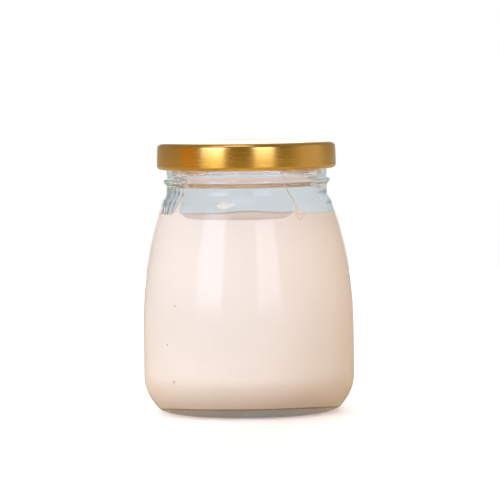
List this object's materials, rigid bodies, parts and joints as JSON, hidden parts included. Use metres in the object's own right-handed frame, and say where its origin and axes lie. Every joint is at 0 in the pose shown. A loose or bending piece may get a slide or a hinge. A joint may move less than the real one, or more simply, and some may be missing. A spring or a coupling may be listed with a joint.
{
  "type": "glass pudding jar",
  "caption": "Squat clear glass jar with rounded shoulders, filled with set milk pudding to below the neck and closed with a gold metal lug lid.",
  "frame": {"origin": "centre of the foot, on the plane that the jar stands on", "axes": "+Z is the jar's upright axis, from the foot to the lid; -Y faces the camera"},
  "size_m": [0.0658, 0.0658, 0.0844],
  "materials": {
    "glass": "clear soda-lime glass, smooth, faint cool tint",
    "lid_gold": "tinplate under gold lacquer, satin with a fine grain",
    "pudding": "set milk pudding, opaque pinkish cream, soft satin on top"
  },
  "bodies": {
    "root": {"jar_glass": "glass", "lid": "lid_gold", "pudding": "pudding"}
  },
  "joints": []
}
